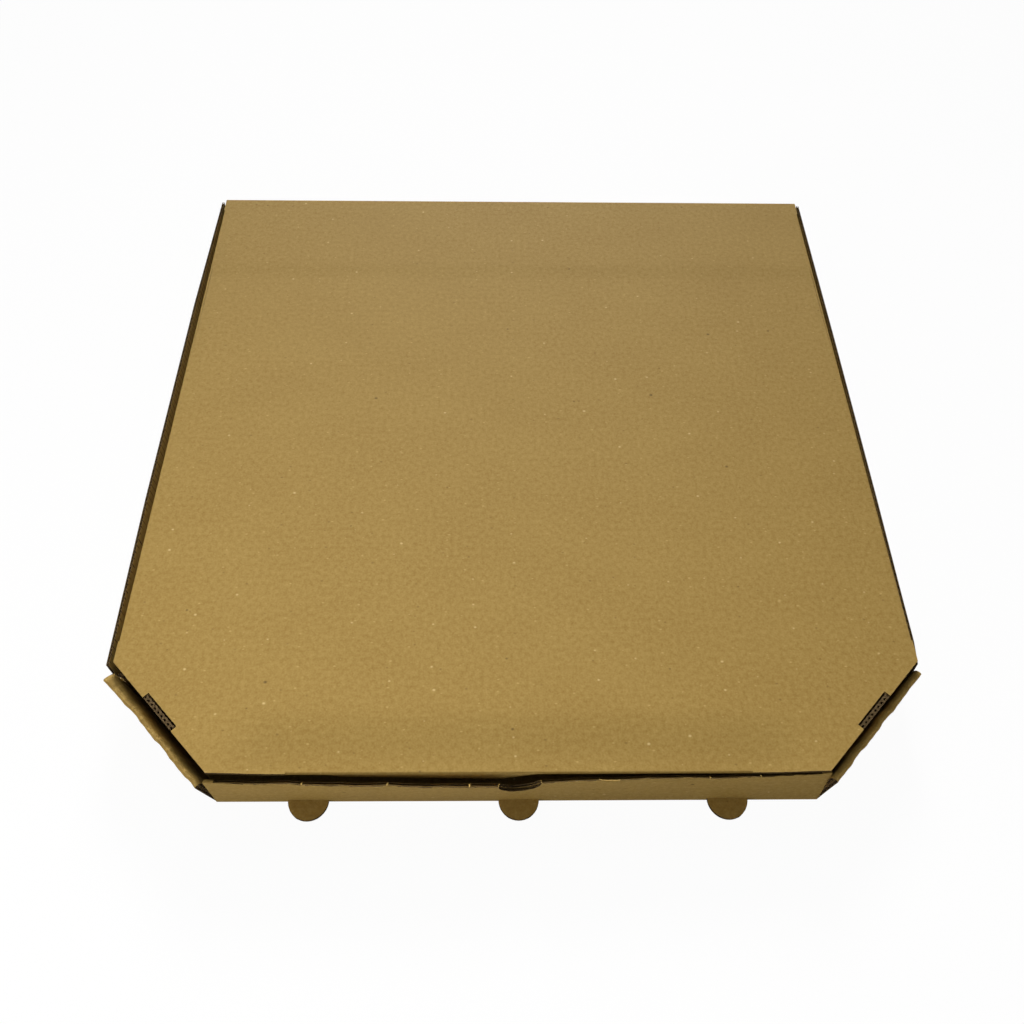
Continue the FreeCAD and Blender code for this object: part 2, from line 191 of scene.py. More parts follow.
def add_paper(made, loops, place, share, a_breaks, rows, layer, on_blank):
    """One paper of the board, row by row across the blank. share(b) says how far through the
    board it lies, from 0 on the inner face to 1 on the outer face; on_blank gives the place on the
    whole blank, so that the paper's pattern runs on over a crease."""
    known = {}

    def corner(a, b):
        key = (round(a / HAIR), round(b / HAIR))
        if key not in known:
            known[key] = len(made["points"])
            made["points"].append(place(a, b, share(b)))
            blank_a, blank_b = on_blank(a, b)
            made["flat"].append((blank_a / MM, blank_b / MM, 0.0))
        return known[key]

    for low, high in zip(rows, rows[1:]):
        for (a0, a1), (c0, c1) in zip(spans(loops, low + HAIR), spans(loops, high - HAIR)):
            inner = [a for a in a_breaks if max(a0, c0) + PAPER < a < min(a1, c1) - PAPER]
            near, far = [a0, *inner, a1], [c0, *inner, c1]
            for i in range(len(near) - 1):
                ring = [corner(near[i], low), corner(near[i + 1], low),
                        corner(far[i + 1], high), corner(far[i], high)]
                ring = [p for k, p in enumerate(ring) if p != ring[k - 1]]
                if len(ring) < 3:
                    continue
                points = [made["points"][p] for p in ring]
                normal = (points[1] - points[0]).cross(points[2] - points[0])
                outward = place(near[i], low, OUTER_FACE) - place(near[i], low, INNER_FACE)
                if (normal.dot(outward) > 0) == (layer == INNER_LINER):
                    ring.reverse()
                made["faces"].append(ring)
                made["layers"].append(layer)


def steps(low, high, step):
    """Evenly spaced values from low to high, at most step apart."""
    count = max(1, math.ceil((high - low) / step))
    return [low + (high - low) * i / count for i in range(count + 1)]


def put(name, data):
    """An object of its own in the scene."""
    thing = bpy.data.objects.new(name, data)
    bpy.context.scene.collection.objects.link(thing)
    return thing


def fluted_board(name, body, loops, place, a_breaks=(), b_breaks=(), pitch=FLUTE_PITCH, bare=False,
                 paper=PAPER, on_blank=lambda a, b: (a, b)):
    """A panel of the blank: outer liner, inner liner and fluted paper between them, or the liners
    alone where it is bare. loops are its cut outline and holes, flat, with a along the flutes and
    b across; place folds it up. Rows lie at the b_breaks, so a bend that isn't straight in b needs
    one at each of its kinks."""
    made = {"points": [], "flat": [], "faces": [], "layers": []}
    edges = sorted({b for loop in loops for _, b in loop})
    low, high = edges[0], edges[-1]
    rows = sorted({round(b / HAIR) * HAIR for b in [*edges, *(b for b in b_breaks if low < b < high)]})
    add_paper(made, loops, place, lambda b: OUTER_FACE, a_breaks, rows, OUTER_LINER, on_blank)
    add_paper(made, loops, place, lambda b: INNER_FACE, a_breaks, rows, INNER_LINER, on_blank)
    if not bare:
        fine = sorted({*rows, *(round(b / HAIR) * HAIR for b in steps(low, high, pitch / STEPS_PER_FLUTE))})
        add_paper(made, loops, place, lambda b: 0.5 + FLUTE_SWING * math.sin(math.tau * b / pitch),
                  a_breaks, fine, FLUTED_PAPER, on_blank)
    mesh = bpy.data.meshes.new(name)
    mesh.from_pydata(made["points"], [], made["faces"])
    mesh.polygons.foreach_set("material_index", made["layers"])
    flat = mesh.attributes.new("blank_mm", "FLOAT_VECTOR", "POINT")
    flat.data.foreach_set("vector", [value for point in made["flat"] for value in point])
    for material in (liner, liner, fluting, cut_edge_partly_painted_shade):
        mesh.materials.append(material)
    panel = put(name, mesh)
    thickness = panel.modifiers.new("paper_thickness", "SOLIDIFY")
    thickness.thickness = paper
    thickness.offset = -1
    thickness.material_offset_rim = RIM_SLOT
    if body:
        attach(panel, body)
        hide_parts(body)
    return panel


# The base panel. It lies on the table; its edges are all creases, where the walls turn up. Its
# outline follows the lid's, a little larger, with the two front corners clipped.
lid_low, lid_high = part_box("lid")
half_lid, lid_front, lid_rear, lid_top = lid_high.x, lid_low.y, lid_high.y, lid_high.z
corner_cut = 45 * MM
WALL_OVERHANG = 2 * MM
DIAGONAL_OVERHANG = 2.1 * MM
FOOT_RADIUS = 1.0 * MM
ROOT_HALF = math.sqrt(0.5)
side_face = half_lid + WALL_OVERHANG
front_face = -lid_front + WALL_OVERHANG
front_corner = half_lid - corner_cut + DIAGONAL_OVERHANG / ROOT_HALF - WALL_OVERHANG
side_corner = lid_front + corner_cut - DIAGONAL_OVERHANG / ROOT_HALF + WALL_OVERHANG
base_side, base_front, base_rear = side_face - FOOT_RADIUS, front_face - FOOT_RADIUS, lid_rear - FOOT_RADIUS
fluted_board("base", "tray", [[
    (-front_corner, -base_front), (front_corner, -base_front),
    (base_side, side_corner), (base_side, base_rear),
    (-base_side, base_rear), (-base_side, side_corner),
]], lambda a, b, share: Vector((a, b, BOARD * (1 - share))), a_breaks=[0.0], bare=True)

# The rear wall. Turned up from the base, and creased over at the top into the lid; its two ends
# are raw and show the flutes from the side.
HINGE_DROP = 1.8 * MM
CREASE_ARCS = 4
rear_wall_top = lid_top - HINGE_DROP


def folded(stations):
    """A bent section of board. Each station is the outer face's point and the inner face's, as
    (out, up) in the wall's own plane; returns the section and the outer face's flat lengths."""
    lengths = [0.0]
    for (before, _), (after, _) in zip(stations, stations[1:]):
        lengths.append(lengths[-1] + math.dist(before, after))

    def section(length, share):
        k = 1
        while k < len(stations) - 1 and length > lengths[k]:
            k += 1
        t = (length - lengths[k - 1]) / (lengths[k] - lengths[k - 1])
        (outer0, inner0), (outer1, inner1) = stations[k - 1], stations[k]
        outer = [p + (q - p) * t for p, q in zip(outer0, outer1)]
        inner = [p + (q - p) * t for p, q in zip(inner0, inner1)]
        return [p + (q - p) * share for p, q in zip(inner, outer)]

    return section, lengths


def bend(centre, radius, start, end, inner, arcs=CREASE_ARCS):
    """Stations of a crease from start to end degrees, measured from straight up towards out."""
    turns = [math.radians(start + (end - start) * i / arcs) for i in range(arcs + 1)]
    return [((centre[0] + radius * math.sin(t), centre[1] + radius * math.cos(t)), inner) for t in turns]


def wall_foot(face):
    """Stations of the crease where a wall turns up from the base to its outer face."""
    return bend((face - FOOT_RADIUS, FOOT_RADIUS), FOOT_RADIUS, 180, 90, (face - BOARD, BOARD))


def rectangle(a0, a1, b0, b1):
    return [(a0, b0), (a1, b0), (a1, b1), (a0, b1)]


def at_the_rear(section):
    """Folds up a panel whose section stands at the box's rear edge."""
    def place(a, b, share):
        y, z = section(b, share)
        return Vector((a, y, z))

    return place


rear_section, rear_lengths = folded([
    *wall_foot(lid_rear),
    ((lid_rear, rear_wall_top), (lid_rear - BOARD, rear_wall_top)),
])
fluted_board("rear_wall", "tray", [rectangle(-half_lid, half_lid, 0.0, rear_lengths[-1])],
             at_the_rear(rear_section), a_breaks=[0.0], b_breaks=rear_lengths)

# The side walls. One ply, with a raw top edge that shows the flutes, because they stand upright
# here; the left wall has bulged outward, and the right one leans in at its front end. A dust tab
# folds in behind each rear end.
SIDE_HEIGHT = 28 * MM
CRUSHED_EDGE = 1.1 * MM
CLEARANCE = 0.3 * MM
SIDE_STEP = 12 * MM
DUST_HEIGHT, DUST_FOOT_LENGTH, DUST_TOP_LENGTH = 23 * MM, 36 * MM, 32 * MM
side_rear = lid_rear - BOARD - CLEARANCE
panel_floor = BOARD + CLEARANCE
side_section, side_lengths = folded([
    *wall_foot(side_face),
    ((side_face, SIDE_HEIGHT), (side_face - CRUSHED_EDGE, SIDE_HEIGHT)),
])
SIDE_BULGES = {
    -1: [(side_corner, 1.0 * MM), (-40 * MM, 2.0 * MM), (82 * MM, 2.0 * MM), (side_rear, 0.5 * MM)],
    1: [(side_corner, -1.9 * MM), (-111 * MM, -1.0 * MM), (-85 * MM, -0.8 * MM), (-40 * MM, -0.3 * MM),
        (60 * MM, 0.2 * MM), (side_rear, 0.2 * MM)],
}


def between(pairs, position):
    """The value at a position, straight from pair to pair."""
    for (p0, v0), (p1, v1) in zip(pairs, pairs[1:]):
        if position <= p1 or (p1, v1) == pairs[-1]:
            return v0 + (v1 - v0) * (position - p0) / (p1 - p0)


for side, side_name in ((-1, "left"), (1, "right")):
    def on_side_wall(a, b, share):
        out, z = side_section(a, share)
        bulge = between(SIDE_BULGES[side], b) * z / SIDE_HEIGHT
        return Vector(((out + bulge) * side, b, z))

    fluted_board(f"{side_name}_side_wall", "tray", [
        rectangle(0.0, side_lengths[-1], side_corner, side_rear),
    ], on_side_wall, a_breaks=side_lengths[1:-1], b_breaks=[
        *steps(side_corner, side_rear, SIDE_STEP), *[b for b, _ in SIDE_BULGES[side]]])

    dust_top, dust_end = panel_floor + DUST_HEIGHT, side_face - BOARD / 2
    fluted_board(f"{side_name}_dust_tab", "tray", [[
        (panel_floor, side_face - DUST_FOOT_LENGTH), (dust_top, side_face - DUST_TOP_LENGTH),
        (dust_top, dust_end), (panel_floor, dust_end),
    ]], lambda a, b, share: Vector((b * side, side_rear - BOARD * (1 - share), a)))

# The front wall. An outer ply, a fold pinched over at the top and an inner ply hanging inside.
# The fold is cut through but for a few nicks, so it has cracked open; it has bowed out by the
# finger notch, which is cut through both plies.
FRONT_TOP = 27 * MM
NOTCH_RADIUS = 8.2 * MM
FRONT_WAVER = 0.25 * MM
FRONT_STEP = 4 * MM
FRONT_BOW = [
    (-front_corner, 1.2 * MM), (-62 * MM, 2.8 * MM), (-NOTCH_RADIUS, 3.6 * MM),
    (NOTCH_RADIUS, 1.8 * MM), (50 * MM, 0.3 * MM), (94 * MM, -0.1 * MM), (front_corner, -1.7 * MM),
]
inner_ply = front_face - BOARD - CLEARANCE


def pinched_fold(face, top, profile):
    """Stations of a fold pinched by hand. The profile is in mm from the wall's face and top, each
    pair the outer liner's point and the inner liner's."""
    return [tuple((face + out * MM, top + up * MM) for out, up in pair) for pair in profile]


front_section, front_lengths = folded([
    *wall_foot(front_face),
    *pinched_fold(front_face, FRONT_TOP, [
        ((0.0, -0.6), (-0.95, -1.5)), ((-0.3, 0.0), (-1.0, -1.5)),
        ((-1.0, -0.4), (-1.1, -1.5)), ((-2.2, -2.6), (-1.2, -2.8)),
    ]),
    ((inner_ply - BOARD, panel_floor), (inner_ply, panel_floor)),
])
ridge = front_lengths[CREASE_ARCS + 2]


def ripple(position, wavelength, seed):
    """A slow hand-made unevenness between about -1 and 1."""
    turn = math.tau * position / wavelength
    return (math.sin(turn + seed) + 0.6 * math.sin(1.9 * turn + 2.3 * seed)
            + 0.4 * math.sin(3.7 * turn + 4.1 * seed)) / 1.6


def on_front_wall(a, b, share):
    """The wall bows and wavers more the higher it is, and its fold has sagged unevenly."""
    out, z = front_section(b, share)
    rise = z / FRONT_TOP
    bow = between(FRONT_BOW, a) + FRONT_WAVER * ripple(a, 37 * MM, 1.0)
    sag = FRONT_WAVER * (ripple(a, 23 * MM, 2.0) - 1)
    return Vector((a, -(out + bow * rise), z + sag * rise ** 3))


def circle(middle_a, middle_b, radius, count=28):
    turns = [math.tau * (i + 0.5) / count for i in range(count)]
    return [(middle_a + radius * math.cos(t), middle_b + radius * math.sin(t)) for t in turns]


def half_turn(count):
    return [math.pi * i / count for i in range(count + 1)]


LOCK_PITCH = 84 * MM
LOCK_MIDDLES = (-LOCK_PITCH, 0.0, LOCK_PITCH)
SLOT_PLAY, SLOT_DROP, SLOT_CROWN = 0.4 * MM, 0.5 * MM, 2.0 * MM
TAB_TIP_GAP = 0.05 * MM
tray_low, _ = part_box("tray")
tab_radius = -tray_low.y - front_face - TAB_TIP_GAP
slot_half = tab_radius + SLOT_PLAY
slot_foot = front_lengths[CREASE_ARCS] + SLOT_DROP
front_loops = [rectangle(-front_corner, front_corner, 0.0, front_lengths[-1])]
front_loops.append(circle(0.0, ridge, NOTCH_RADIUS))
for middle in LOCK_MIDDLES:
    front_loops.append([(middle + slot_half * math.cos(t), slot_foot + SLOT_CROWN * math.sin(t) ** 0.5)
                        for t in half_turn(14)])

# The fold's cracks, in mm along the wall. Nicks of board hold the fold together between them, the
# outer liner's lip is torn a little ragged, and on one stretch that liner has held on.
CRACKS = [(-117, -83.7), (-83.2, -51), (-50.5, -19.6), (-19, -8.25), (8.25, 30.5), (38.5, 73.2),
          (73.7, 92.8), (93.3, 117)]
TORN = [0.1, 0.35, 0.1, 0.0, 0.35, 0.2, 0.0, 0.1, 0.35, 0.35, 0.2, 0.0, 0.2]
TORN_STEP = 1.3 * MM
HELD_START, HELD_END, HELD_LIP = 30.6 * MM, 38.4 * MM, 0.4 * MM
crack_foot = ridge + 3.2 * MM
for number, (crack_start, crack_end) in enumerate(CRACKS):
    lip = []
    torn_steps = steps(crack_start * MM, crack_end * MM, TORN_STEP)
    for i, (before, after) in enumerate(zip(torn_steps, torn_steps[1:])):
        torn = ridge - TORN[(i * 5 + number * 3) % len(TORN)] * MM
        lip += [(before, torn), (after, torn)]
    front_loops.append([*lip, (crack_end * MM, crack_foot), (crack_start * MM, crack_foot)])
front_loops.append(rectangle(HELD_START, HELD_END, ridge + HELD_LIP, crack_foot))
fluted_board("front_wall", "tray", front_loops, on_front_wall,
             a_breaks=steps(-front_corner, front_corner, FRONT_STEP), b_breaks=front_lengths)

# The lock tabs. Three half-rounds at the foot of the inner ply, pushed out through the slots in
# the outer ply, where they lie just off the table and hold the wall closed.
inner_middle = inner_ply - BOARD / 2
for number, middle in enumerate(LOCK_MIDDLES, start=1):
    round_end = [(middle - tab_radius * math.cos(t), -front_face - tab_radius * math.sin(t))
                 for t in half_turn(20)]
    fluted_board(f"lock_tab_{number}", "tray", [
        [*round_end, (middle + tab_radius, -inner_middle), (middle - tab_radius, -inner_middle)],
    ], lambda a, b, share: Vector((a, b, panel_floor + BOARD * share)))

# The corner walls. They close the two clipped corners: rolled over at the top as the front wall
# is, leaning out, and crushed wavy by hand. The folds run at 45 degrees to the flutes.
CORNER_TOP = 26 * MM
CORNER_PITCH = FLUTE_PITCH / ROOT_HALF
CORNER_LEANS = {-1: 4.0 * MM, 1: 2.1 * MM}
CORNER_WAVE, CORNER_DENT = 0.35 * MM, 0.3 * MM
CORNER_STEP, CORNER_ROW = 1.5 * MM, 4 * MM
FRONT_GAP, REAR_GAP = 0.5 * MM, 2.5 * MM
FLARES = {-1: 1.1 * MM, 1: 0.0}
FLARE_START = 6 * MM
FLARE_SHARE = [(-1 * MM, 1.0), (1.0 * MM, 1.0), (3.4 * MM, -1.2), (9 * MM, -1.2)]
diagonal_middle = Vector((half_lid - corner_cut / 2 + DIAGONAL_OVERHANG * ROOT_HALF,
                          lid_front + corner_cut / 2 - DIAGONAL_OVERHANG * ROOT_HALF, 0.0))
diagonal_end = (side_corner - diagonal_middle.y) / ROOT_HALF
wall_front, wall_rear = FRONT_GAP - diagonal_end, diagonal_end - REAR_GAP


def at_corner(side, out, along, z):
    """A point by a clipped corner: out from the base's diagonal edge, along it to the rear."""
    spot = diagonal_middle + Vector((out + along, along - out, 0.0)) * ROOT_HALF
    return Vector((spot.x * side, spot.y, z))


def clamp(value):
    return min(1.0, max(0.0, value))


for side, side_name in ((-1, "left"), (1, "right")):
    lean = CORNER_LEANS[side]
    corner_section, corner_lengths = folded([
        *wall_foot(0.0),
        *pinched_fold(lean, CORNER_TOP, [
            ((0.0, -1.0), (-1.3, -1.8)), ((-0.25, -0.3), (-1.35, -1.6)), ((-0.9, 0.0), (-1.4, -1.5)),
            ((-1.8, -0.25), (-1.6, -1.6)), ((-2.6, -0.9), (-1.65, -1.8)), ((-3.1, -2.2), (-1.7, -2.4)),
        ]),
        ((-panel_floor - BOARD, panel_floor), (-panel_floor, panel_floor)),
    ])
    rise_start, rise_end = corner_lengths[CREASE_ARCS:CREASE_ARCS + 2]

    def on_corner_wall(a, b, share):
        """The fold waves and dents, and at the left wall's rear end it has flared open."""
        out, z = corner_section(b, share)
        rise = clamp(z / CORNER_TOP)
        flare = max(0.0, (a - FLARE_START) / (wall_rear - FLARE_START)) ** 1.5
        wave = CORNER_WAVE * ripple(a, 19 * MM, 3.0 + side) * rise ** 3 * (1 - flare)
        wave += FLARES[side] * flare * rise ** 3 * between(FLARE_SHARE, lean - out)
        dent = CORNER_DENT * (ripple(a, 11 * MM, 5.0 + side) - 1) * rise ** 6
        return at_corner(side, out + wave, a, z + dent)

    fluted_board(f"{side_name}_corner_wall", "tray", [
        rectangle(wall_front, wall_rear, 0.0, corner_lengths[-1]),
    ], on_corner_wall, a_breaks=steps(wall_front, wall_rear, CORNER_STEP),
        b_breaks=[*corner_lengths, *steps(rise_start, rise_end, CORNER_ROW)], pitch=CORNER_PITCH)

# The corner tabs. Each turns in from a side wall's front end, runs along inside the corner wall
# and carries a tongue that stands up through the lid's notch, where it shows its raw top edge.
TAB_TOP, TAB_ROOT, TAB_SHOULDER = 24 * MM, 17 * MM, 3 * MM
TAB_TURN, TAB_TURN_END, TAB_TURN_STEP = 10 * MM, 24 * MM, 1.25 * MM
TAB_ELBOW, TAB_BEYOND = 5 * MM, 11.8 * MM
TONGUE_HALF, TONGUE_SHIFT = 9.2 * MM, 0.8 * MM
TONGUE_SPREAD, TONGUE_SUNK = 0.4 * MM, 0.1 * MM
CRUSHED_PAPER, CRUSHED_PITCH = 0.55 * MM, FLUTE_PITCH * 0.7
tongue_top = lid_top - TONGUE_SUNK
tongue_rear = TAB_TURN + TAB_TURN_END - TONGUE_SHIFT - TONGUE_HALF
tongue_front = tongue_rear + 2 * TONGUE_HALF
tab_end = tongue_front + TAB_BEYOND
tab_foot_face = -2 * panel_floor
tab_lip_face = -DIAGONAL_OVERHANG
for side, side_name in ((-1, "left"), (1, "right")):
    def on_corner_tab(a, b, share):
        """The tab leans out with the corner wall, and curves in from the side wall's end to it."""
        rise = (a - panel_floor) / (lid_top - panel_floor)
        spread = TONGUE_SPREAD * max(0.0, (a - TAB_TOP) / (lid_top - TAB_TOP))
        face = tab_foot_face + (tab_lip_face - tab_foot_face) * rise - (BOARD + spread) * (1 - share)
        if b > TAB_TURN:
            return at_corner(side, face, TAB_TURN_END + TAB_TURN - b, a)
        run_in = at_corner(side, face, TAB_TURN_END, a)
        elbow = at_corner(side, face, TAB_TURN_END + TAB_ELBOW, a)
        bulge = SIDE_BULGES[side][0][1] * a / SIDE_HEIGHT
        hem = Vector(((side_face + bulge - BOARD * (1 - share)) * side, side_corner + BOARD * (1 - share), a))
        t = b / TAB_TURN
        return hem * (1 - t) ** 2 + elbow * (2 * t * (1 - t)) + run_in * t ** 2

    fluted_board(f"{side_name}_corner_tab", "tray", [[
        (panel_floor, 0.0), (TAB_ROOT, 0.0), (TAB_ROOT, TAB_TURN), (TAB_TOP, TAB_TURN + TAB_SHOULDER),
        (TAB_TOP, tongue_rear), (tongue_top, tongue_rear),
        (tongue_top, tongue_front), (TAB_TOP, tongue_front), (TAB_TOP, tab_end), (panel_floor, tab_end),
    ]], on_corner_tab, a_breaks=[TAB_TOP], b_breaks=steps(0.0, TAB_TURN, TAB_TURN_STEP),
        pitch=CRUSHED_PITCH, paper=CRUSHED_PAPER)

# The lid. One panel with clipped front corners and a notch in each for the tongue. Its front edge
# is pressed down where the tuck flap goes in, and handling has bent it faintly near the rear.
CREASE_RADIUS, FRONT_CREASE_RADIUS = 1.3 * MM, 0.8 * MM
NOTCH_DEPTH, NOTCH_PLAY = 2.7 * MM, 0.5 * MM
FLAP_MARGIN = 30 * MM
DIP, DIP_REACH, DIP_RUN = 1.7 * MM, 26 * MM, 24 * MM
BEND, BEND_REAR, BEND_FRONT, BEND_END = 0.35 * MM, 114 * MM, 101 * MM, 40 * MM
LID_STEP, LID_ROW = 7 * MM, 2 * MM
flap_half = half_lid - corner_cut - FLAP_MARGIN
side_flap_front, side_flap_rear = lid_front + 54 * MM, lid_rear - 10 * MM
side_crease, front_crease = half_lid - CREASE_RADIUS, lid_front + FRONT_CREASE_RADIUS
edge_middle = Vector((half_lid - corner_cut / 2, lid_front + corner_cut / 2))
notch_half = TONGUE_HALF + NOTCH_PLAY
notch_front, notch_rear = TONGUE_SHIFT - notch_half, TONGUE_SHIFT + notch_half


def on_lid_diagonal(along, inward):
    """A point by the right clipped corner's edge, from the edge's middle."""
    return tuple(edge_middle + Vector((along - inward, along + inward)) * ROOT_HALF)


def eased(value):
    """From 0 to 1 with a soft start and a soft end."""
    share = clamp(value)
    return share * share * (3 - 2 * share)


def front_dip(a, b):
    """The lid's front edge is pressed down a little where its flap is tucked in."""
    near = eased((lid_front + DIP_REACH - b) / DIP_REACH)
    return DIP * near * eased((half_lid - corner_cut - abs(a)) / DIP_RUN)


def faint_bend(b):
    """A straight faint bend across the lid near its rear, from handling."""
    into = eased((BEND_REAR - b) / (BEND_REAR - BEND_FRONT))
    return BEND * into * clamp((b - BEND_END) / (BEND_FRONT - BEND_END))


def on_lid(a, b, share):
    return Vector((a, b, lid_top - front_dip(a, b) - faint_bend(b) - BOARD * (1 - share)))


right_edge = [
    (flap_half, front_crease), (flap_half, lid_front), (half_lid - corner_cut, lid_front),
    on_lid_diagonal(notch_front, 0.0), on_lid_diagonal(notch_front, NOTCH_DEPTH),
    on_lid_diagonal(notch_rear, NOTCH_DEPTH), on_lid_diagonal(notch_rear, 0.0),
    (half_lid, lid_front + corner_cut), (half_lid, side_flap_front), (side_crease, side_flap_front),
    (side_crease, side_flap_rear), (half_lid, side_flap_rear), (half_lid, lid_rear - CREASE_RADIUS),
]
left_edge = [(-a, b) for a, b in reversed(right_edge)]
fluted_board("lid_panel", "lid", [right_edge + left_edge], on_lid,
             a_breaks=steps(-half_lid, half_lid, LID_STEP), b_breaks=[
                 *steps(lid_front, lid_front + DIP_REACH, LID_ROW), BEND_END,
                 *steps(BEND_FRONT, BEND_REAR, LID_ROW)])

# The tuck flap. It turns down from the lid's front edge at a tight crease, slopes in behind the
# front wall, and is part of the same board.
FRONT_DROP, FRONT_REACH = 20 * MM, 10 * MM
LIP_DROP, LIP_SET_BACK = 2.2 * MM, 1.0 * MM
FLAP_ARCS = 8
FLAP_STEP, FLAP_BELLY_ROWS, FLAP_ROW = 3 * MM, 6 * MM, 0.75 * MM
TIP_TAPER = 8 * MM
BELLY_SLACK, BELLY_RUN = 0.7 * MM, 20 * MM
BELLY_DEPTHS = [(0.0, 0.0), (1.6 * MM, 0.1), (6 * MM, 1.0), (FRONT_DROP, 0.0)]
slope = math.atan2(FRONT_REACH, FRONT_DROP - BOARD)
tip_out, tip_up = -lid_front - FRONT_REACH, lid_top - FRONT_DROP
lip_face = -lid_front - LIP_SET_BACK


def lid_crease(edge, radius, inner, arcs=CREASE_ARCS):
    """Stations of the crease where a flap turns down from the lid's edge."""
    return bend((edge - radius, lid_top - radius), radius, 0, 90, inner, arcs)


flap_section, flap_lengths = folded([
    *lid_crease(-lid_front, FRONT_CREASE_RADIUS,
                (-lid_front - BOARD / math.cos(slope), lid_top - BOARD), FLAP_ARCS),
    ((lip_face, lid_top - LIP_DROP), (lip_face - BOARD, lid_top - LIP_DROP - PAPER)),
    ((tip_out, tip_up), (tip_out - BOARD * math.cos(slope), tip_up + BOARD * math.sin(slope))),
])
flap_start, flap_end = flap_lengths[FLAP_ARCS], flap_lengths[-1]


def on_front_flap(a, b, share):
    """Where the front wall has bowed out, the flap bellies out after it below the crease."""
    out, z = flap_section(b, share)
    belly = max(0.0, between(FRONT_BOW, a) - BELLY_SLACK) * min(1.0, (flap_half - abs(a)) / BELLY_RUN)
    depth = between(BELLY_DEPTHS, lid_top - z)
    crease_line = front_crease - min(b, FRONT_CREASE_RADIUS)
    return Vector((a, -(out + belly * depth), z - front_dip(a, crease_line)))


fluted_board("front_flap", "lid", [[
    (-flap_half, 0.0), (flap_half, 0.0), (flap_half, flap_start), (flap_half - TIP_TAPER, flap_end),
    (-flap_half + TIP_TAPER, flap_end), (-flap_half, flap_start),
]], on_front_flap, a_breaks=steps(-flap_half, flap_half, FLAP_STEP),
    b_breaks=[*flap_lengths, *steps(flap_start, flap_start + FLAP_BELLY_ROWS, FLAP_ROW)],
    on_blank=lambda a, b: (a, front_crease - b))

# The side flaps. One turns down at a crease along each side of the lid and hangs just inside the
# side wall, its ends cut at a slant.
SIDE_DROP = 20 * MM
FRONT_TAPER, REAR_TAPER = 7 * MM, 14 * MM
side_flap_section, side_flap_lengths = folded([
    *lid_crease(half_lid, CREASE_RADIUS, (half_lid - BOARD, lid_top - BOARD)),
    ((half_lid, lid_top - SIDE_DROP), (half_lid - BOARD, lid_top - SIDE_DROP)),
])
side_flap_start, side_flap_end = side_flap_lengths[CREASE_ARCS], side_flap_lengths[-1]
for side, side_name in ((-1, "left"), (1, "right")):
    def on_side_flap(a, b, share):
        out, z = side_flap_section(a, share)
        return Vector((out * side, b, z))

    fluted_board(f"{side_name}_side_flap", "lid", [[
        (0.0, side_flap_front), (side_flap_start, side_flap_front),
        (side_flap_end, side_flap_front + FRONT_TAPER), (side_flap_end, side_flap_rear - REAR_TAPER),
        (side_flap_start, side_flap_rear), (0.0, side_flap_rear),
    ]], on_side_flap, a_breaks=side_flap_lengths[1:-1], b_breaks=[0.0],
        on_blank=lambda a, b: ((side_crease + a) * side, b))

# The hinge crease. The outer liner runs unbroken from the rear wall over into the lid, and is
# what the lid swings on.
HINGE_ARCS = 6
HINGE_BEND, HINGE_PAPER = 0.8 * MM, 0.5 * MM
hinge_section, hinge_lengths = folded([
    *lid_crease(lid_rear, CREASE_RADIUS, (lid_rear - HINGE_BEND, lid_top - HINGE_BEND), HINGE_ARCS),
    ((lid_rear, rear_wall_top), (lid_rear - HINGE_PAPER, rear_wall_top)),
])
rear_crease = lid_rear - CREASE_RADIUS
hinge = fluted_board("hinge_crease", None, [rectangle(-half_lid, half_lid, 0.0, hinge_lengths[-1])],
                     at_the_rear(hinge_section), a_breaks=[0.0], b_breaks=hinge_lengths, bare=True,
                     on_blank=lambda a, b: (a, rear_crease + b))
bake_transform(hinge)

# The studio. A plain white table and backdrop, which the camera sees as white by themselves, and
# soft light: a broad lamp above and behind the box, and faint ones from the left and the front.
FLOOR_HALF = 3.0
TABLE_GLOW = 0.96
ROOM_LIGHT = 0.22
floor_mesh = bpy.data.meshes.new("floor")
floor_corners = rectangle(-FLOOR_HALF, FLOOR_HALF, -FLOOR_HALF, FLOOR_HALF)
floor_mesh.from_pydata([(x, y, 0.0) for x, y in floor_corners], [], [(0, 1, 2, 3)])
floor = put("floor", floor_mesh)
white, tree = new_material("white_table")
table_paint = tree.nodes["Principled BSDF"]
table_paint.inputs["Base Color"].default_value = linear("#F2F2F0")
table_paint.inputs["Roughness"].default_value = 0.9
glow = add(tree, "ShaderNodeEmission", {}, {"Color": (1, 1, 1, 1), "Strength": 1.0})
seen = add(tree, "ShaderNodeLightPath")
lifted = add(tree, "ShaderNodeMath", {"operation": "MULTIPLY"},
             {0: seen.outputs["Is Camera Ray"], 1: TABLE_GLOW})
mixed = add(tree, "ShaderNodeMixShader", {},
            {0: lifted.outputs[0], 1: table_paint.outputs[0], 2: glow.outputs[0]})
tree.links.new(mixed.outputs[0], tree.nodes["Material Output"].inputs["Surface"])
floor_mesh.materials.append(white)

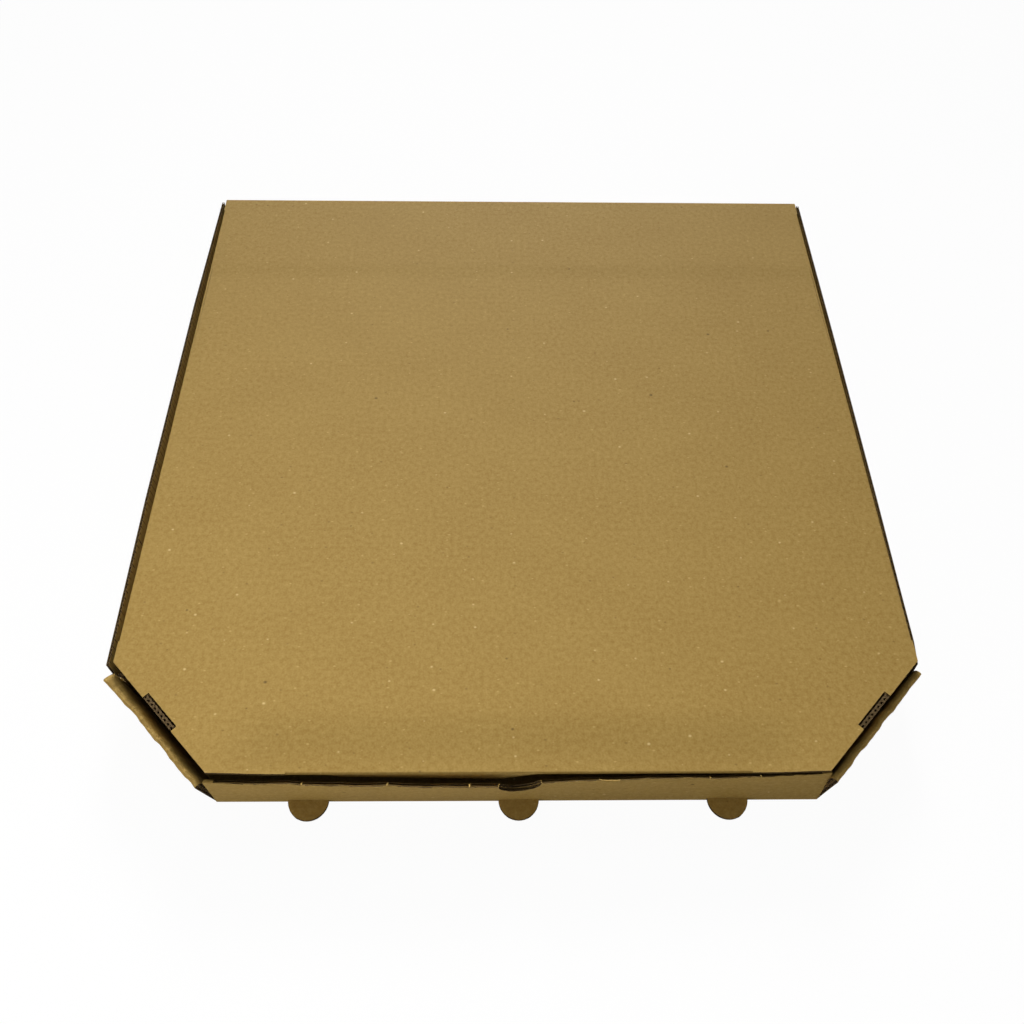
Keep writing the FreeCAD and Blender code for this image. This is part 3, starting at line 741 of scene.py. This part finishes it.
world = bpy.data.worlds.new("studio")
bpy.context.scene.world = world
world.use_nodes = True
tree = world.node_tree
room = tree.nodes["Background"]
room.inputs["Color"].default_value = (1, 1, 1, 1)
room.inputs["Strength"].default_value = ROOM_LIGHT
backdrop = add(tree, "ShaderNodeBackground", {}, {"Color": (1, 1, 1, 1), "Strength": 1.0})
seen = add(tree, "ShaderNodeLightPath")
shown = add(tree, "ShaderNodeMath", {"operation": "MAXIMUM"},
            {0: seen.outputs["Is Camera Ray"], 1: seen.outputs["Is Glossy Ray"]})
chosen = add(tree, "ShaderNodeMixShader", {},
             {0: shown.outputs[0], 1: room.outputs[0], 2: backdrop.outputs[0]})
tree.links.new(chosen.outputs[0], tree.nodes["World Output"].inputs["Surface"])


def lamp(name, position, target, size, watts, beam=180):
    """A round lamp aimed at a target; a beam under 180 degrees is narrower and brighter."""
    light = bpy.data.lights.new(name, "AREA")
    light.shape = "DISK"
    light.size = size
    light.energy = watts
    light.spread = math.radians(beam)
    holder = put(name, light)
    holder.location = position
    holder.rotation_euler = (Vector(target) - Vector(position)).to_track_quat("-Z", "Y").to_euler()


lamp("rear_lamp", (0.0, 2.05, 1.3), (-0.08, -0.6, 0), 1.0, 3.85, 27)
lamp("left_lamp", (-0.45, 0.35, 0.8), (-0.1, -0.4, 0), 0.4, 0.25, 50)
lamp("front_lamp", (-0.6, -0.6, 0.22), (0, -0.17, 0.01), 0.2, 1.5)

# The camera. It stands as the photograph was taken: close, looking down at the front, a little
# rolled, with the lens axis above the picture's middle.
PHOTO_PIXELS = 1024
FOCAL_PIXELS = 1035.5
AXIS_ROW = 400
SENSOR_WIDTH = 36
PITCH, YAW, ROLL = math.radians(51.44), math.radians(1.71), math.radians(-1.52)
CAMERA_PLACE = (-10.9 * MM, -300.7 * MM, 427.7 * MM)
forward = Vector((math.sin(YAW) * math.cos(PITCH), math.cos(YAW) * math.cos(PITCH), -math.sin(PITCH)))
level = Vector((math.cos(YAW), -math.sin(YAW), 0.0))
plumb = forward.cross(level)
right = level * math.cos(ROLL) + plumb * math.sin(ROLL)
down = -level * math.sin(ROLL) + plumb * math.cos(ROLL)
camera_data = bpy.data.cameras.new("camera")
camera_data.sensor_width = SENSOR_WIDTH
camera_data.lens = SENSOR_WIDTH * FOCAL_PIXELS / PHOTO_PIXELS
camera_data.shift_y = (AXIS_ROW - PHOTO_PIXELS / 2) / PHOTO_PIXELS
camera = put("camera", camera_data)
turned = Matrix((right, -down, -forward)).transposed()
camera.matrix_world = Matrix.Translation(CAMERA_PLACE) @ turned.to_4x4()
bpy.context.scene.camera = camera
bpy.context.scene.view_settings.view_transform = "Standard"

bpy.context.view_layer.update()
